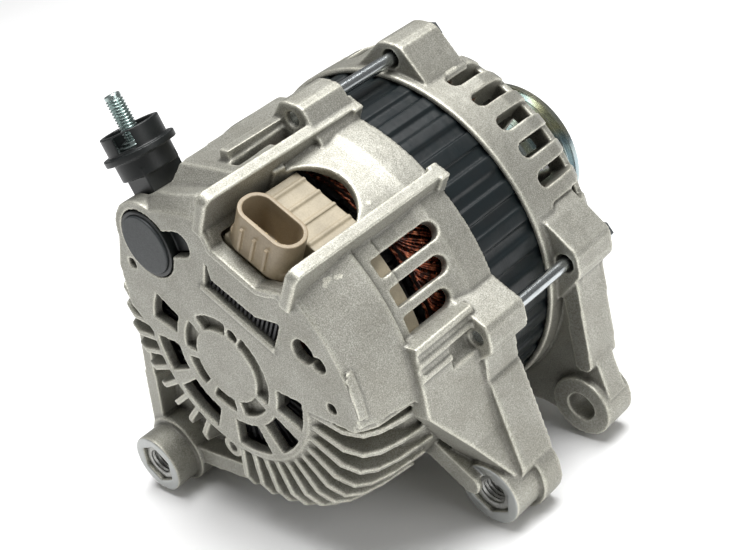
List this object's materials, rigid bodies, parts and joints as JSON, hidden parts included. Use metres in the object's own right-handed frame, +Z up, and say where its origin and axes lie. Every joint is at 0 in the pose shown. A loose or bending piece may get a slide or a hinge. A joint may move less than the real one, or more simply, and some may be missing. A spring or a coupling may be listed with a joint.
{
  "type": "car alternator",
  "caption": "Air-cooled car alternator: cast end brackets bolted round a dark stator, grooved belt pulley, threaded output stud, oval plug socket and mounting lugs front and rear",
  "frame": {"origin": "the point where the centre plane of the drive belt crosses the shaft axis", "axes": "+Y runs along the shaft from the rear plate to the pulley, parallel to the mounting bolts; +Z is up with the two pairs of lugs level at the bottom; +X is to the right when the rear plate is seen"},
  "size_m": [0.152, 0.1578, 0.1589],
  "materials": {
    "cast_aluminium": "shot-blasted casting, fine sparkling grain",
    "lamination_steel": "blue-black varnish on stacked sheet steel",
    "copper_winding": "varnished red copper wire",
    "zinc_steel": "bright zinc plating",
    "nut_steel": "grey phosphated steel",
    "plate_steel": "plain rolled sheet steel",
    "bearing_steel": "ground bearing steel",
    "bearing_ball": "polished bearing steel",
    "seal_rubber": "black nitrile",
    "black_heat_sink": "black anodised aluminium",
    "plain_aluminium": "mill finish",
    "black_plastic": "glass-filled black plastic",
    "diode_case": "tin-plated case",
    "brass_metal": "plain brass",
    "beige_plastic": "tan glass-filled plastic",
    "connector_plastic": "tan moulded plastic",
    "brush_carbon": "pressed carbon and copper",
    "spring_steel": "drawn spring wire",
    "terminal_plastic": "satin black plastic",
    "cap_plastic": "satin dark grey plastic",
    "stud_zinc": "greenish zinc plating",
    "shaft_steel": "ground steel",
    "pole_steel": "forged steel with dark varnish",
    "slip_insulator": "brown moulding compound",
    "yellow_zinc": "yellow passivated zinc, faint rainbow tints"
  },
  "bodies": {
    "housing": {"bearing_retainer_plate": "plate_steel", "brush_holder": "beige_plastic", "brush_spring_front": "spring_steel", "brush_spring_rear": "spring_steel", "connector_pins": "brass_metal", "connector_shroud": "connector_plastic", "front_bearing_outer_race": "bearing_steel", "front_bearing_seals": "seal_rubber", "front_bracket": "cast_aluminium", "insulator_guard": "beige_plastic", "output_busbar": "brass_metal", "output_cap": "cap_plastic", "output_insulator": "terminal_plastic", "output_stud": "stud_zinc", "rear_bearing_outer_race": "bearing_steel", "rear_bearing_seals": "seal_rubber", "rear_bracket": "cast_aluminium", "rear_lug_nuts": "nut_steel", "rectifier_diodes": "diode_case", "rectifier_negative_heat_sink": "plain_aluminium", "rectifier_positive_heat_sink": "black_heat_sink", "rectifier_screws": "zinc_steel", "rectifier_spacers": "brass_metal", "rectifier_terminal_board": "black_plastic", "regulator_body": "beige_plastic", "regulator_heat_sink": "black_heat_sink", "retainer_screws": "zinc_steel", "stator_core": "lamination_steel", "stator_leads": "copper_winding", "stator_winding": "copper_winding", "suppression_capacitor": "black_plastic", "through_bolts": "zinc_steel"},
    "rotor": {"shaft": "shaft_steel", "pole_claw_rear": "pole_steel", "pole_claw_front": "pole_steel", "coil_bobbin": "black_plastic", "field_coil": "copper_winding", "fan_rear": "plate_steel", "fan_front": "plate_steel", "slip_ring_insulator": "slip_insulator", "slip_rings": "brass_metal", "pulley": "yellow_zinc", "pulley_spacer": "shaft_steel", "pulley_nut": "zinc_steel", "rear_bearing_inner_race": "bearing_steel", "front_bearing_inner_race": "bearing_steel"},
    "rear_balls": {"rear_bearing_balls": "bearing_ball"},
    "front_balls": {"front_bearing_balls": "bearing_ball"},
    "rear_brush": {"brush_rear": "brush_carbon"},
    "front_brush": {"brush_front": "brush_carbon"}
  },
  "joints": [
    {"name": "rotor_spin", "type": "hinge", "parent": "housing", "child": "rotor", "pos_m": [0, 0, 0], "axis": [0, 1, 0], "continuous": true},
    {"name": "rear_ball_orbit", "type": "hinge", "parent": "housing", "child": "rear_balls", "pos_m": [0, -0.133, 0], "axis": [0, 1, 0], "continuous": true},
    {"name": "front_ball_orbit", "type": "hinge", "parent": "housing", "child": "front_balls", "pos_m": [0, -0.029, 0], "axis": [0, 1, 0], "continuous": true},
    {"name": "rear_brush_slide", "type": "slide", "parent": "housing", "child": "rear_brush", "axis": [0, 0, 1], "range_m": [0, 0.004], "stiffness_N_per_m": 250, "springref_m": -0.012, "deforming": ["brush_spring_rear"]},
    {"name": "front_brush_slide", "type": "slide", "parent": "housing", "child": "front_brush", "axis": [0, 0, 1], "range_m": [0, 0.004], "stiffness_N_per_m": 250, "springref_m": -0.012, "deforming": ["brush_spring_front"]}
  ],
  "couplings": [
    {"joint": "rear_ball_orbit", "follows": "rotor_spin", "ratio": 0.384},
    {"joint": "front_ball_orbit", "follows": "rotor_spin", "ratio": 0.36875}
  ]
}
